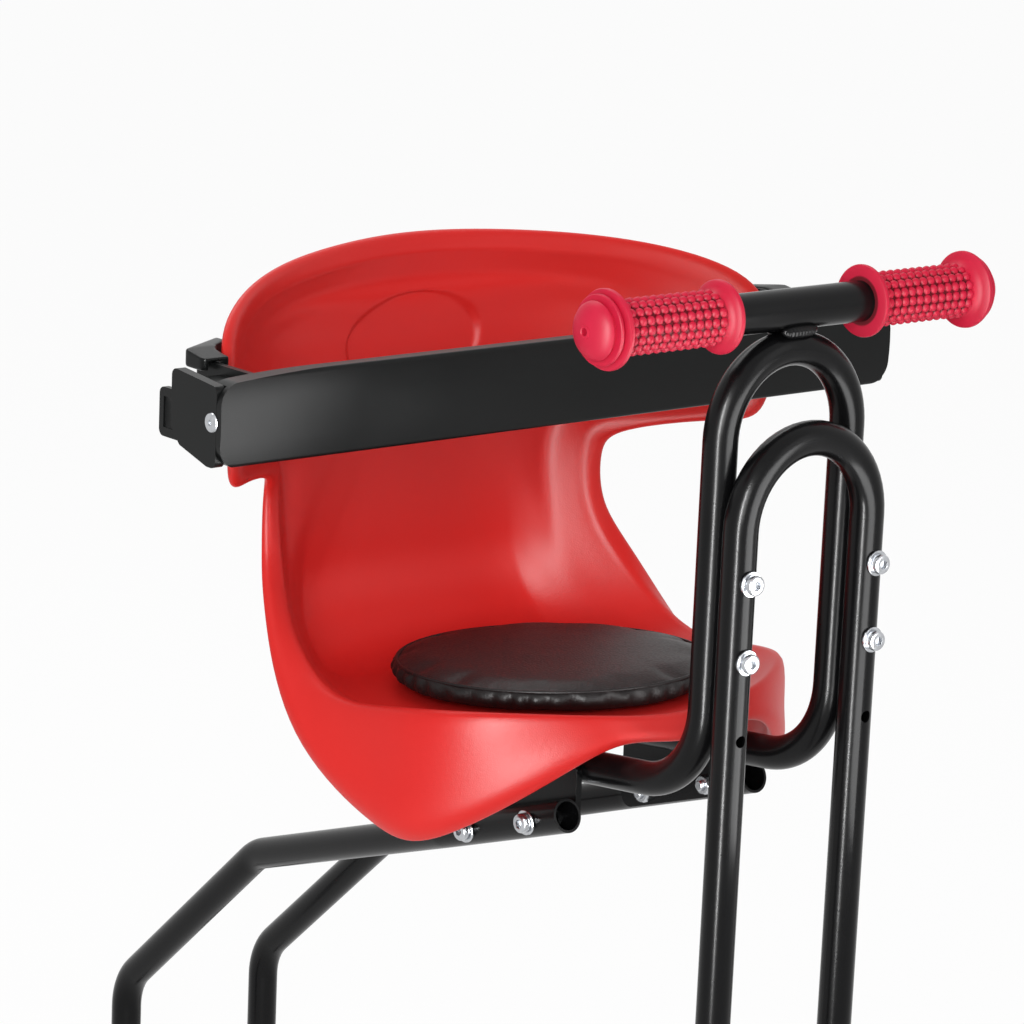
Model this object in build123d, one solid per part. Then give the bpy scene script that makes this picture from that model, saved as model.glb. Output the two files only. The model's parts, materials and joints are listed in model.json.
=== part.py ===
from build123d import *
from math import cos, hypot, pi, sin
import os

# Child's bicycle seat on a bent-tube stand, in millimetres.
# The child faces -Y, the child's left is +X, and the leg ends stand on Z = 0.
# The front hoop is drawn at Y = 0; the finished pieces are centred in Y when they are written.

# Tubes
TUBE_R = 9.5
TUBE_WALL = 1.5
BEND_R = 52.0
LEG_BEND_R = 38.0
TOUCH = 0.3

# Front hoop and seat frame
HOOP_HALF = 46.0
FRONT_HOOP_TOP = 537.5
FRAME_Y = 2 * TUBE_R + TOUCH
RAIL_Y = 92.0
RAIL_Z = 337.5
RAIL_SLOPE = 0.123
RAIL_LENGTH = 170.0
RAIL_END_Y = RAIL_Y + RAIL_LENGTH

# Handlebar and grips
BAR_R = 11.1
BAR_WALL = 1.5
BAR_Z = 603.6
GRIP_START = 50.5
GRIP_LENGTH = 80.5
GRIP_R = 14.2
GRIP_FLANGE_R = 19.7
GRIP_END_R = 21.2
GRIP_FLANGE = 4.0
GRIP_DOME = 12.0
GRIP_CLEAR = 0.1
VENT_R = 1.8
BAR_INSIDE = 6.0

# Rear legs and the side plates that carry them
PLATE_T = 4.0
REAR_START_Y = RAIL_Y + 8.0
REAR_START_Z = RAIL_Z - 24.0
REAR_TURN_Y = REAR_START_Y + 105.0
REAR_BEND_HALF = 55.0
REAR_BEND_Y = 404.0
REAR_BEND_Z = 204.0
REAR_FOOT_HALF = 54.5
REAR_FOOT_Y = 543.0
REAR_KNEE_Z = 79.0

# Fasteners
BOLT_R = 3.0
HOLE_CLEAR = 0.3
WASHER_R = 7.0
WASHER_T = 1.5
HEAD_R = 5.8
HEAD_H = 4.2
NUT_H = 5.0
BOLT_TAIL = 2.5
FRONT_BOLT_Z = (466.0, 423.5)
SPARE_HOLE_Z = 380.0
REAR_BOLT_Y = (REAR_START_Y + 23.0, REAR_START_Y + 75.0)
SCREW_R = 2.5
SCREW_HEAD_R = 4.6
SCREW_HEAD_H = 2.8
SCREW_CLEAR = 0.05
SCREW_DEPTH = 13.0

# Bucket shell
WALL = 4.0
PAN_HALF = 130.0
WAIST_HALF = 116.5
WING_HALF = 188.0
LIP_Y = RAIL_Y - 6.0
SEAT_DEPTH = 254.0
BACK_Y = LIP_Y + SEAT_DEPTH
WING_Y = BACK_Y - 88.0
PAN_Z = RAIL_Z + TUBE_R + 19.0
WAIST_RISE = 89.0
WING_RISE = 162.0
CROWN_RISE = 219.0
WAIST_Z = PAN_Z + WAIST_RISE
WING_Z = PAN_Z + WING_RISE
CROWN_Z = PAN_Z + CROWN_RISE
APRON_BULGE = 0.1
PAN_TILT = 0.065
SEAT_BEND_R = 55.0
BEND_SHARE = 0.7
RIM_ROUND = 1.6
BOSS_R = 8.0
BOSS_Y = (LIP_Y + 42.0, LIP_Y + 136.0)
BOSS_HOLE = 9.0

# Pad
PAD_R = 92.5
PAD_Y = LIP_Y + 112.0
PAD_EDGE = 13.0
PAD_CROWN = 6.0
PAD_ROUND = 5.0
PAD_GAP = 0.9

# Safety bar unit and the wing brackets it slides onto
SLIDE_CLEAR = 0.5
HOOK_X = (WING_HALF + 17.0, WING_HALF + 34.0)
HOOK_Y = (WING_Y - 13.0, WING_Y + 5.0)
HOOK_TOP = WING_Z + 36.0
HOOK_FALL = 5.0
HOOK_WALL = 4.0
HOOK_ROUND = 3.0
FOOT_LOW = WING_Z - 10.0
SHELF_T = 3.5
SHELF_TOP = WING_Z + 22.0
LIP_T = 4.0
LIP_TOP = SHELF_TOP + 5.0
GUARD_HALF = HOOK_X[1] + 24.0
GUARD_Y = WING_Y - 64.0
GUARD_T = 14.0
GUARD_Z = WING_Z + 5.5
GUARD_H = 49.0
GUARD_CORNER = 13.0
GUARD_EDGE = 2.5
GUARD_BELLY = 2.5
GUARD_DROP = 4.0
GUARD_TAPER = 80.0
END_SKIN = 2.0
CHEEK_T = 6.0
CHEEK_END_Y = WING_Y - 18.0
CHEEK_GAP = 0.2
CHEEK_SCREW_Y = GUARD_Y + 8.5
TAB_T = 3.6
TAB_END_Y = WING_Y + 2.0


def mirrored(points):
    """The same points on the child's right."""
    return [(-x, y, z) for x, y, z in points]


def pipe(path, outer, wall):
    """A tube swept along a path."""
    start = Plane(path @ 0, z_dir=path % 0)
    body = sweep(start * Circle(outer), path=path)
    bore = sweep(start * Circle(outer - wall), path=path)
    return body - bore


def rod(radius, a, b):
    """A round bar between two points."""
    start = Vector(*a)
    line = Vector(*b) - start
    plane = Plane(start, z_dir=line.normalized())
    return plane * Cylinder(radius, line.length, align=(Align.CENTER, Align.CENTER, Align.MIN))


def hexagon(radius, height, origin, direction):
    """A six-sided head or nut on a plane."""
    plane = Plane(origin, z_dir=direction)
    return extrude(plane * RegularPolygon(radius, 6), height)


def rail_z(y):
    return RAIL_Z - RAIL_SLOPE * (y - RAIL_Y)


def rail_top(y, radius):
    """Height that clears the top of a rail all over a round foot."""
    return rail_z(y - radius) + TUBE_R * (1 + RAIL_SLOPE ** 2) ** 0.5 + TOUCH / 2


def rail_bottom(y, radius):
    """Height that clears the underside of a rail all over a round head."""
    return rail_z(y + radius) - TUBE_R * (1 + RAIL_SLOPE ** 2) ** 0.5 - TOUCH / 2


def rear_z(y):
    fall = (REAR_START_Z - REAR_BEND_Z) / (REAR_BEND_Y - REAR_START_Y)
    return REAR_START_Z - fall * (y - REAR_START_Y)


ARCH_TOP = BAR_Z - BAR_R - TUBE_R - TOUCH
PLATE_X = HOOP_HALF + TUBE_R + TOUCH
REAR_HALF = PLATE_X + PLATE_T + TOUCH + TUBE_R
CHEEK_X = GUARD_HALF - CHEEK_T
SIDES = (-1, 1)


def hoop_arch(y, top):
    """Half circle that joins the two legs of a hoop."""
    low = top - HOOP_HALF
    return ThreePointArc((-HOOP_HALF, y, low), (0, y, top), (HOOP_HALF, y, low))


def front_hoop():
    low = FRONT_HOOP_TOP - HOOP_HALF
    left = Line((-HOOP_HALF, 0, 0), (-HOOP_HALF, 0, low))
    right = Line((HOOP_HALF, 0, low), (HOOP_HALF, 0, 0))
    hoop = pipe(Wire([left, hoop_arch(0, FRONT_HOOP_TOP), right]), TUBE_R, TUBE_WALL)
    for side in SIDES:
        for z in FRONT_BOLT_Z + (SPARE_HOLE_Z,):
            x = side * HOOP_HALF
            hoop -= rod(BOLT_R + HOLE_CLEAR, (x, -2 * TUBE_R, z), (x, 2 * TUBE_R, z))
    return hoop


def seat_frame():
    low = ARCH_TOP - HOOP_HALF
    side = [
        (HOOP_HALF, FRAME_Y, low),
        (HOOP_HALF, FRAME_Y, rail_z(FRAME_Y)),
        (HOOP_HALF, RAIL_END_Y, rail_z(RAIL_END_Y)),
    ]
    right = FilletPolyline(*side, radius=BEND_R)
    left = FilletPolyline(*mirrored(side)[::-1], radius=BEND_R)
    path = Wire(left.edges() + [hoop_arch(FRAME_Y, ARCH_TOP)] + right.edges())
    frame = pipe(path, TUBE_R, TUBE_WALL)
    for side in SIDES:
        x = side * HOOP_HALF
        for z in FRONT_BOLT_Z:
            frame -= rod(BOLT_R + SCREW_CLEAR, (x, 0, z), (x, FRAME_Y, z))
        for y in BOSS_Y:
            z = rail_z(y)
            frame -= rod(SCREW_R + HOLE_CLEAR, (x, y, z - 2 * TUBE_R), (x, y, z + 2 * TUBE_R))
    return frame


def handlebar():
    half = GRIP_START + GRIP_LENGTH - BAR_INSIDE
    line = Line((-half, FRAME_Y, BAR_Z), (half, FRAME_Y, BAR_Z))
    return pipe(Wire([line]), BAR_R, BAR_WALL)


def weld_beads(bar, frame):
    """Two fillets of weld where the hoop meets the handlebar."""
    reach = 14.0
    beads = []
    for side in SIDES:
        y = FRAME_Y + side * TUBE_R * 0.72
        z = BAR_Z - BAR_R + 0.4
        bead = rod(4.2, (-reach, y, z), (reach, y, z))
        for tube_r, path in bar, frame:
            bead -= sweep(Plane(path @ 0, z_dir=path % 0) * Circle(tube_r + 0.08), path=path)
        beads.append(bead)
    return beads


def grip(side):
    """Rubber sleeve with two flanges and a stepped, domed end."""
    inner = BAR_R + GRIP_CLEAR
    end = GRIP_LENGTH
    step_r = (GRIP_END_R + GRIP_R) / 2
    dome_r = GRIP_R - 0.8
    with BuildPart() as body:
        with BuildSketch(Plane.XZ):
            with BuildLine():
                Polyline(
                    (inner, 0), (GRIP_FLANGE_R - 1, 0), (GRIP_FLANGE_R, 1.2), (GRIP_FLANGE_R, GRIP_FLANGE - 1.2),
                    (GRIP_FLANGE_R - 1, GRIP_FLANGE), (GRIP_R, GRIP_FLANGE + 1.5), (GRIP_R, end - GRIP_FLANGE - 1.5),
                    (GRIP_END_R - 1, end - GRIP_FLANGE), (GRIP_END_R, end - GRIP_FLANGE + 1.2), (GRIP_END_R, end - 1.2),
                    (GRIP_END_R - 1, end), (step_r, end), (step_r, end + 3), (dome_r, end + 3),
                )
                ThreePointArc(
                    (dome_r, end + 3), (dome_r * 0.75, end + 0.78 * GRIP_DOME), (VENT_R, end + GRIP_DOME),
                )
                Polyline(
                    (VENT_R, end + GRIP_DOME), (VENT_R, end - BAR_INSIDE + 1),
                    (inner, end - BAR_INSIDE + 1), (inner, 0),
                )
            make_face()
        revolve(axis=Axis.Z)
    turn = Rot(0, 90 * side, 0)
    return Pos(side * GRIP_START, FRAME_Y, BAR_Z) * turn * body.part


def rear_leg(side):
    """Long bent tube: open front end under the seat, a slight turn inwards, two bends to the floor."""
    points = [
        (REAR_HALF, REAR_START_Y, REAR_START_Z),
        (REAR_HALF, REAR_TURN_Y, rear_z(REAR_TURN_Y)),
        (REAR_BEND_HALF, REAR_BEND_Y, REAR_BEND_Z),
        (REAR_FOOT_HALF, REAR_FOOT_Y, REAR_KNEE_Z),
        (REAR_FOOT_HALF, REAR_FOOT_Y, 0),
    ]
    if side < 0:
        points = mirrored(points)
    leg = pipe(FilletPolyline(*points, radius=LEG_BEND_R), TUBE_R, TUBE_WALL)
    for y in REAR_BOLT_Y:
        z = rear_z(y)
        leg -= rod(BOLT_R + HOLE_CLEAR, (0, y, z), (2 * side * REAR_HALF, y, z))
    return leg


def side_plate(side):
    """Flat plate welded to a rail, with the rear leg bolted to its outer face."""
    first = REAR_BOLT_Y[0] - 18
    last = REAR_BOLT_Y[1] + 22
    outline = [
        (first, rail_z(first) + 5),
        (last, rail_z(last) + 5),
        (last, rear_z(last) - 8),
        (first, rear_z(first) - 8),
    ]
    face = Plane.YZ * make_face(Polyline(*outline, close=True))
    plate = extrude(face, PLATE_T)
    plate = fillet(plate.edges().filter_by(Axis.X), 7)
    x = PLATE_X if side > 0 else -PLATE_X - PLATE_T
    plate = Pos(x, 0, 0) * plate
    for y in REAR_BOLT_Y:
        z = rear_z(y)
        plate -= rod(BOLT_R + HOLE_CLEAR, (0, y, z), (2 * side * REAR_HALF, y, z))
    return plate


def bolt(seat, direction, grip_length):
    """Hex bolt: head behind its seat, shank along the direction."""
    seat = Vector(*seat)
    line = Vector(*direction)
    head = hexagon(HEAD_R, HEAD_H, seat, line * -1)
    return head + rod(BOLT_R, seat, seat + line * grip_length)


def nut(seat, direction):
    body = hexagon(HEAD_R, NUT_H, seat, direction)
    line = Vector(*direction)
    seat = Vector(*seat)
    return body - rod(BOLT_R + SCREW_CLEAR, seat - line, seat + line * (NUT_H + 1))


def washer(seat, direction):
    line = Vector(*direction)
    seat = Vector(*seat)
    ring = rod(WASHER_R, seat, seat + line * WASHER_T)
    return ring - rod(BOLT_R + HOLE_CLEAR, seat - line, seat + line * (WASHER_T + 1))


def front_fasteners():
    """Four bolts through the front hoop into the frame behind it, with a washer under each head."""
    bolts = []
    washers = []
    face = -TUBE_R - TOUCH / 2
    seat = face - WASHER_T - SCREW_CLEAR
    for side in SIDES:
        for z in FRONT_BOLT_Z:
            x = side * HOOP_HALF
            washers.append(washer((x, face, z), (0, -1, 0)))
            bolts.append(bolt((x, seat, z), (0, 1, 0), FRAME_Y - BOLT_TAIL - seat))
    return bolts, washers


def rear_fasteners():
    """Four bolts that clamp the rear legs to the side plates, nuts inside."""
    bolts = []
    washers = []
    nuts = []
    face = REAR_HALF + TUBE_R + TOUCH / 2
    inside = PLATE_X - SCREW_CLEAR
    for side in SIDES:
        for y in REAR_BOLT_Y:
            z = rear_z(y)
            washers.append(washer((side * face, y, z), (side, 0, 0)))
            seat = face + WASHER_T + SCREW_CLEAR
            length = seat - inside + NUT_H + BOLT_TAIL
            bolts.append(bolt((side * seat, y, z), (-side, 0, 0), length))
            nuts.append(nut((side * inside, y, z), (-side, 0, 0)))
    return bolts, washers, nuts


def rim_stations():
    """Stations round half the rim, from the front lip to the crown.

    Each has the ridge where the bucket turns outwards, then the steps from
    that ridge to the edge of the lip and to the foot of the inner wall.
    """
    return [
        ((0, LIP_Y, PAN_Z), (0, -8, -12), (0, 18, -4)),
        ((0.37 * PAN_HALF, LIP_Y + 3, PAN_Z + 4), (-1, -8, -13), (-4, 18, -8)),
        ((0.68 * PAN_HALF, LIP_Y + 24, PAN_Z + 6), (-2, -9, -38), (-9, 16, -12)),
        ((0.92 * PAN_HALF, LIP_Y + 59, PAN_Z + 4), (3, 2, -72), (-17, 12, -12)),
        ((PAN_HALF, LIP_Y + 105, PAN_Z - 3), (8, -2, -64), (-20, 3, -12)),
        ((1.03 * PAN_HALF, LIP_Y + 147, PAN_Z - 4), (16, 10, -24), (-20, 2, -12)),
        ((0.98 * PAN_HALF, BACK_Y - 64, PAN_Z + 18), (12, 10, 8), (-18, 12, -21)),
        ((WAIST_HALF + 1.5, BACK_Y - 36, WAIST_Z - 35), (10, 2, 5), (-17, 18, -15)),
        ((WAIST_HALF, BACK_Y - 29.5, WAIST_Z), (9, -2, 0), (-18, 22, -3)),
        ((WAIST_HALF + 8.5, BACK_Y - 37, WAIST_Z + 22), (10, -7, -6), (-16, 26, 6)),
        ((0.88 * WING_HALF, WING_Y + 21, WING_Z - 39), (6, -9, -9), (-26, 29, 12)),
        ((0.98 * WING_HALF, WING_Y + 2, WING_Z - 28), (11, -9, -12), (-26, 33, 8)),
        ((WING_HALF, WING_Y, WING_Z), (12, -10, 0), (-25, 33, 0)),
        ((0.94 * WING_HALF, WING_Y + 16, WING_Z + 28), (14, -8, 10), (-23, 26, -7)),
        ((0.73 * WING_HALF, BACK_Y - 43, CROWN_Z - 11), (4, 0, 11), (-18, 17, -11)),
        ((0.4 * WING_HALF, BACK_Y - 19, CROWN_Z - 3), (1, 4, 11), (-8, 11, -14)),
        ((0, BACK_Y - 8, CROWN_Z), (0, 6, 11), (0, 6, -14)),
    ]


FLOOR_Y = LIP_Y + 18
FLOOR_Z = PAN_Z - 4
FLOOR_RUN = BACK_Y - FLOOR_Y - SEAT_BEND_R


def floor_z(y):
    return FLOOR_Z - PAN_TILT * (y - FLOOR_Y)


def spine(s):
    """Middle line of the bucket, by length from the front, with its inward normal."""
    y = FLOOR_Y + FLOOR_RUN
    z = floor_z(y)
    turn = min(max((s - FLOOR_RUN) / SEAT_BEND_R, 0), pi / 2)
    normal = (-sin(turn), cos(turn))
    if s <= FLOOR_RUN:
        return (FLOOR_Y + s, floor_z(FLOOR_Y + s)), normal
    rise = s - FLOOR_RUN - SEAT_BEND_R * turn
    return (y + SEAT_BEND_R * sin(turn), z + SEAT_BEND_R * (1 - cos(turn)) + rise), normal


def on_spine(point):
    """Length along the spine nearest a point, and the height above it."""
    def off(s):
        (y, z), _ = spine(s)
        return hypot(point.Y - y, point.Z - z)

    step = 0.5
    count = int((FLOOR_RUN + pi / 2 * SEAT_BEND_R + CROWN_Z - PAN_Z) / step)
    s = min((i * step for i in range(count)), key=off)
    (y, z), normal = spine(s)
    return s, (point.Y - y) * normal[0] + (point.Z - z) * normal[1]


def round_rim(half):
    """Points of a full ring from those of its half, starting at the crown."""
    return half[::-1] + [Vector(-p.X, p.Y, p.Z) for p in half[1:-1]]


def flatten(ring):
    """A ring pressed onto its mean plane, so that a flat face can close it."""
    middle = sum(ring, Vector(0, 0, 0)) / len(ring)
    normal = Vector(0, 0, 0)
    for a, b in zip(ring, ring[1:] + ring[:1]):
        normal += (a - middle).cross(b - middle)
    normal = normal.normalized()
    return [p - normal * (p - middle).dot(normal) for p in ring]


def ray(point, core):
    """Points from the core of the back out towards a foot: five round the seat bend and one past it."""
    s, height = on_spine(point)
    bend = min((core - FLOOR_RUN) / max(core - s, core - FLOOR_RUN), BEND_SHARE)
    points = []
    for share in [bend * k / 5 for k in range(1, 6)] + [(1 + bend) / 2]:
        (y, z), normal = spine(core + (s - core) * share)
        lift = height * share ** 2.5
        points.append(Vector(point.X * share, y + normal[0] * lift, z + normal[1] * lift))
    return points


def shell_rings():
    """Rings of the inner face, from the seat's deepest part out to the edge of the lip."""
    ridge = []
    edge = []
    foot = []
    for place, lip_step, foot_step in rim_stations():
        ridge.append(Vector(*place))
        edge.append(Vector(*place) + Vector(*lip_step))
        foot.append(Vector(*place) + Vector(*foot_step))
    core, _ = on_spine(Vector(0, BACK_Y, WING_Z))
    rays = [ray(point, core) for point in foot]
    rings = [list(ring) for ring in zip(*rays)]
    rings.append(foot)
    rings.append([a + (b - a) * 0.55 for a, b in zip(foot, ridge)])
    rings.append(ridge)
    rings.append([a + (b - a) * 0.5 for a, b in zip(ridge, edge)])
    rings.append(edge)
    rings = [round_rim(ring) for ring in rings]
    middle = rings[-2]
    backs = outside(rings)[-2]
    for j, point in enumerate(middle):
        rise = APRON_BULGE * (rings[-1][j] - rings[-3][j]).length
        middle[j] = point - (backs[j] - point) * (rise / WALL)
    return rings


def outside(rings):
    """The same rings moved out by the wall."""
    count = len(rings[0])
    moved = []
    for ring in rings:
        steps = [pair for pair in zip(rings, rings[1:]) if ring in pair]
        row = []
        for j, point in enumerate(ring):
            along = ring[(j + 1) % count] - ring[j - 1]
            across = Vector(0, 0, 0)
            for low, high in steps:
                across += (high[j] - low[j]).normalized()
            row.append(point + across.cross(along).normalized() * WALL)
        moved.append(row)
    return moved


def loop(ring):
    """Closed smooth wire through a ring, with even parameters so that rings match."""
    count = len(ring)
    knots = [j / count for j in range(count + 1)]
    return Wire([Edge.make_spline(ring, periodic=True, parameters=knots)])


def seat_shell():
    """Bucket with wings: lofted inner and outer faces joined by a rounded edge."""
    inner = shell_rings()
    outer = outside(inner)
    through = Vector(0, 0, 0)
    for near, far in zip(inner[0], outer[0]):
        through += far - near
    inner[0] = flatten(inner[0])
    outer[0] = [point + through.normalized() * WALL for point in inner[0]]
    edge = []
    for tip, root, back in zip(inner[-1], inner[-2], outer[-1]):
        edge.append((tip + back) * 0.5 + (tip - root).normalized() * RIM_ROUND)
    inside = [loop(ring) for ring in inner]
    outside_loops = [loop(ring) for ring in outer]
    cuts = (0, 4, 6, 8, 10)
    bands = [[inside[-1], loop(edge), outside_loops[-1]]]
    for first, last in zip(cuts, cuts[1:]):
        bands.append(inside[first:last + 1])
        bands.append(outside_loops[first:last + 1])
    faces = [Face(inside[0]), Face(outside_loops[0])]
    for band in bands:
        faces += Shell.make_loft(band).faces()
    shell = Solid(Shell(faces))
    if shell.volume < 0:
        shell = Solid(Shell([-face for face in faces]))
    for side in SIDES:
        x = side * HOOP_HALF
        for y in BOSS_Y:
            low = rail_top(y, BOSS_R)
            shell += rod(BOSS_R, (x, y, low), (x, y, floor_z(y) - WALL / 2))
            shell -= rod(SCREW_R + SCREW_CLEAR, (x, y, low - 1), (x, y, low + BOSS_HOLE))
    return shell


def shell_screws():
    """Screws up through the rails into the bosses under the shell."""
    screws = []
    for side in SIDES:
        for y in BOSS_Y:
            x = side * HOOP_HALF
            seat = rail_bottom(y, SCREW_HEAD_R)
            tip = rail_top(y, BOSS_R) + BOSS_HOLE - 1
            head = rod(SCREW_HEAD_R, (x, y, seat - SCREW_HEAD_H), (x, y, seat))
            screws.append(head + rod(SCREW_R, (x, y, seat), (x, y, tip)))
    return screws


def seat_pad():
    """Round pad with a soft edge and a low crown, lying on the sloping seat floor."""
    flat_r = PAD_R - PAD_ROUND
    crown_r = (flat_r ** 2 + PAD_CROWN ** 2) / (2 * PAD_CROWN)
    half_drop = crown_r - (crown_r ** 2 - flat_r ** 2 / 4) ** 0.5
    with BuildPart() as body:
        with BuildSketch(Plane.XZ):
            with BuildLine():
                Line((0, 0), (flat_r, 0))
                ThreePointArc((flat_r, 0), (PAD_R, PAD_EDGE / 2), (flat_r, PAD_EDGE))
                ThreePointArc(
                    (flat_r, PAD_EDGE), (flat_r / 2, PAD_EDGE + PAD_CROWN - half_drop), (0, PAD_EDGE + PAD_CROWN),
                )
                Line((0, PAD_EDGE + PAD_CROWN), (0, 0))
            make_face()
        revolve(axis=Axis.Z)
    up = Vector(0, PAN_TILT, 1).normalized()
    place = Plane((0, PAD_Y, floor_z(PAD_Y) + PAD_GAP), x_dir=(1, 0, 0), z_dir=up)
    return place * body.part


def guard_outline():
    """Front view of the safety bar: square-shouldered, with the top falling a little towards each end."""
    half_h = GUARD_H / 2
    with BuildSketch() as face:
        with BuildLine():
            Line((-GUARD_HALF, -half_h), (GUARD_HALF, -half_h))
            Line((GUARD_HALF, -half_h), (GUARD_HALF, half_h - GUARD_DROP))
            Line((GUARD_TAPER - GUARD_HALF, half_h), (GUARD_HALF - GUARD_TAPER, half_h))
            TangentArc((GUARD_HALF - GUARD_TAPER, half_h), (GUARD_HALF, half_h - GUARD_DROP), tangent=(1, 0))
            TangentArc((GUARD_TAPER - GUARD_HALF, half_h), (-GUARD_HALF, half_h - GUARD_DROP), tangent=(-1, 0))
            Line((-GUARD_HALF, half_h - GUARD_DROP), (-GUARD_HALF, -half_h))
        make_face()
        ends = face.vertices().group_by(Axis.X)
        fillet(ends[0] + ends[-1], GUARD_CORNER)
    return face.sketch


def safety_bar():
    """Bar across the wings with a bellied front; behind a thin skin each end is cut away for its end plate."""
    front = GUARD_Y + GUARD_BELLY
    back = GUARD_Y + GUARD_T
    low = GUARD_Z - GUARD_H / 2
    high = GUARD_Z + GUARD_H / 2
    with BuildSketch(Plane.YZ) as section:
        with BuildLine():
            Polyline((front, low), (back, low), (back, high), (front, high))
            ThreePointArc((front, high), (GUARD_Y, GUARD_Z), (front, low))
        make_face()
        fillet(section.vertices(), GUARD_EDGE)
    bar = extrude(section.sketch, GUARD_HALF, both=True)
    back_plane = Plane((0, back, GUARD_Z), x_dir=(1, 0, 0), z_dir=(0, -1, 0))
    bar &= extrude(back_plane * guard_outline(), GUARD_T)
    for side in SIDES:
        inner = side * (CHEEK_X - CHEEK_GAP)
        align = (Align.MIN if side > 0 else Align.MAX, Align.MIN, Align.CENTER)
        bar -= Pos(inner, front + END_SKIN, GUARD_Z) * Box(2 * CHEEK_T, GUARD_T, 2 * GUARD_H, align=align)
        deep = inner - side * SCREW_DEPTH
        bar -= rod(SCREW_R + SCREW_CLEAR, (deep, CHEEK_SCREW_Y, GUARD_Z), (inner + side, CHEEK_SCREW_Y, GUARD_Z))
    return bar


def cheek(side):
    """End plate of the bar: chamfered at the lower back, with a shelf and an upright lip."""
    first = GUARD_Y + GUARD_BELLY + END_SKIN + CHEEK_GAP
    low = GUARD_Z - GUARD_H / 2
    top = GUARD_Z + GUARD_H / 2 - 5
    outline = [
        (first, low), (first + 8, low), (CHEEK_END_Y - 8, low + 7),
        (CHEEK_END_Y, low + 16), (CHEEK_END_Y, top + 4), (first, top),
    ]
    plate = extrude(Plane.YZ * make_face(Polyline(*outline, close=True)), CHEEK_T)
    plate = fillet(plate.edges().filter_by(Axis.X), 4)
    plate = Pos(CHEEK_X, 0, 0) * plate
    middle = (HOOK_X[0] + HOOK_X[1]) / 2
    start = GUARD_Y + GUARD_T + 4
    reach = HOOK_Y[1] - HOOK_WALL - SLIDE_CLEAR - start
    width = CHEEK_X + CHEEK_T / 2 - middle + LIP_T / 2
    corner = (Align.MIN, Align.MIN, Align.MAX)
    shelf = Pos(middle - LIP_T / 2, start, SHELF_TOP) * Box(width, CHEEK_END_Y - 2 - start, SHELF_T, align=corner)
    lip = Pos(middle - LIP_T / 2, start, LIP_TOP) * Box(LIP_T, reach, LIP_TOP - SHELF_TOP + SHELF_T, align=corner)
    body = plate + shelf + lip
    near = (CHEEK_X - CHEEK_T, CHEEK_SCREW_Y, GUARD_Z)
    body -= rod(SCREW_R + HOLE_CLEAR, near, (GUARD_HALF + CHEEK_T, CHEEK_SCREW_Y, GUARD_Z))
    return body if side > 0 else mirror(body, Plane.YZ)


def wing_bracket(side):
    """Bracket behind a wing edge, with a hooked channel that the lip of the end plate slides into."""
    x0, x1 = HOOK_X
    y0, y1 = HOOK_Y
    plan = [
        (x1, y0), (x1, y1), (WING_HALF - 1, y1 + 20), (WING_HALF - 1, WING_Y + 15.8),
        (WING_HALF + 12, WING_Y + 6.7), (x0, WING_Y), (x0, y0),
    ]
    block = extrude(Plane((0, 0, FOOT_LOW)) * make_face(Polyline(*plan, close=True)), HOOK_TOP - FOOT_LOW)
    front_top = HOOK_TOP - HOOK_FALL
    slope = [(y0 - 1, front_top), (y1, HOOK_TOP), (y1, HOOK_TOP + HOOK_FALL), (y0 - 1, HOOK_TOP + HOOK_FALL)]
    wedge = extrude(Plane.YZ * make_face(Polyline(*slope, close=True)), 2 * GUARD_HALF)
    corner = (Align.MIN, Align.MIN, Align.MAX)
    channel = Pos(x0 + HOOK_WALL, y0 - 1, LIP_TOP + SLIDE_CLEAR) * Box(
        x1 - x0 - 2 * HOOK_WALL, y1 - y0 - HOOK_WALL + 1, HOOK_TOP - FOOT_LOW, align=corner,
    )
    under = Pos(x0 + HOOK_WALL, y0 - 1, SHELF_TOP + SLIDE_CLEAR) * Box(
        2 * CHEEK_T + x1 - x0, 2 * (y1 - y0), HOOK_TOP - FOOT_LOW, align=corner,
    )
    body = block - wedge - channel - under
    corners = body.edges().filter_by(Axis.Z).group_by(Axis.X)[-1]
    body = fillet(corners, HOOK_ROUND)
    return body if side > 0 else mirror(body, Plane.YZ)


def release_tab(side):
    """Flat loop behind the end plate that the fingers press."""
    low = GUARD_Z - 18
    corner = (Align.MAX, Align.MAX, Align.MIN)
    tab = Pos(CHEEK_X - CHEEK_GAP, TAB_END_Y, low) * Box(TAB_T, 38, 27, align=corner)
    tab = fillet(tab.edges().filter_by(Axis.X), 4)
    tab -= Pos(GUARD_HALF, TAB_END_Y - 4, low + 5) * Box(4 * TAB_T, 12, 17, align=corner)
    return tab if side > 0 else mirror(tab, Plane.YZ)


def cheek_screws():
    screws = []
    for side in SIDES:
        seat = side * (GUARD_HALF + SCREW_CLEAR)
        head_end = seat + side * SCREW_HEAD_H / 2
        tip = seat - side * (CHEEK_T + SCREW_DEPTH - 1)
        head = rod(SCREW_HEAD_R, (seat, CHEEK_SCREW_Y, GUARD_Z), (head_end, CHEEK_SCREW_Y, GUARD_Z))
        screws.append(head + rod(SCREW_R, (tip, CHEEK_SCREW_Y, GUARD_Z), (seat, CHEEK_SCREW_Y, GUARD_Z)))
    return screws


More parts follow.
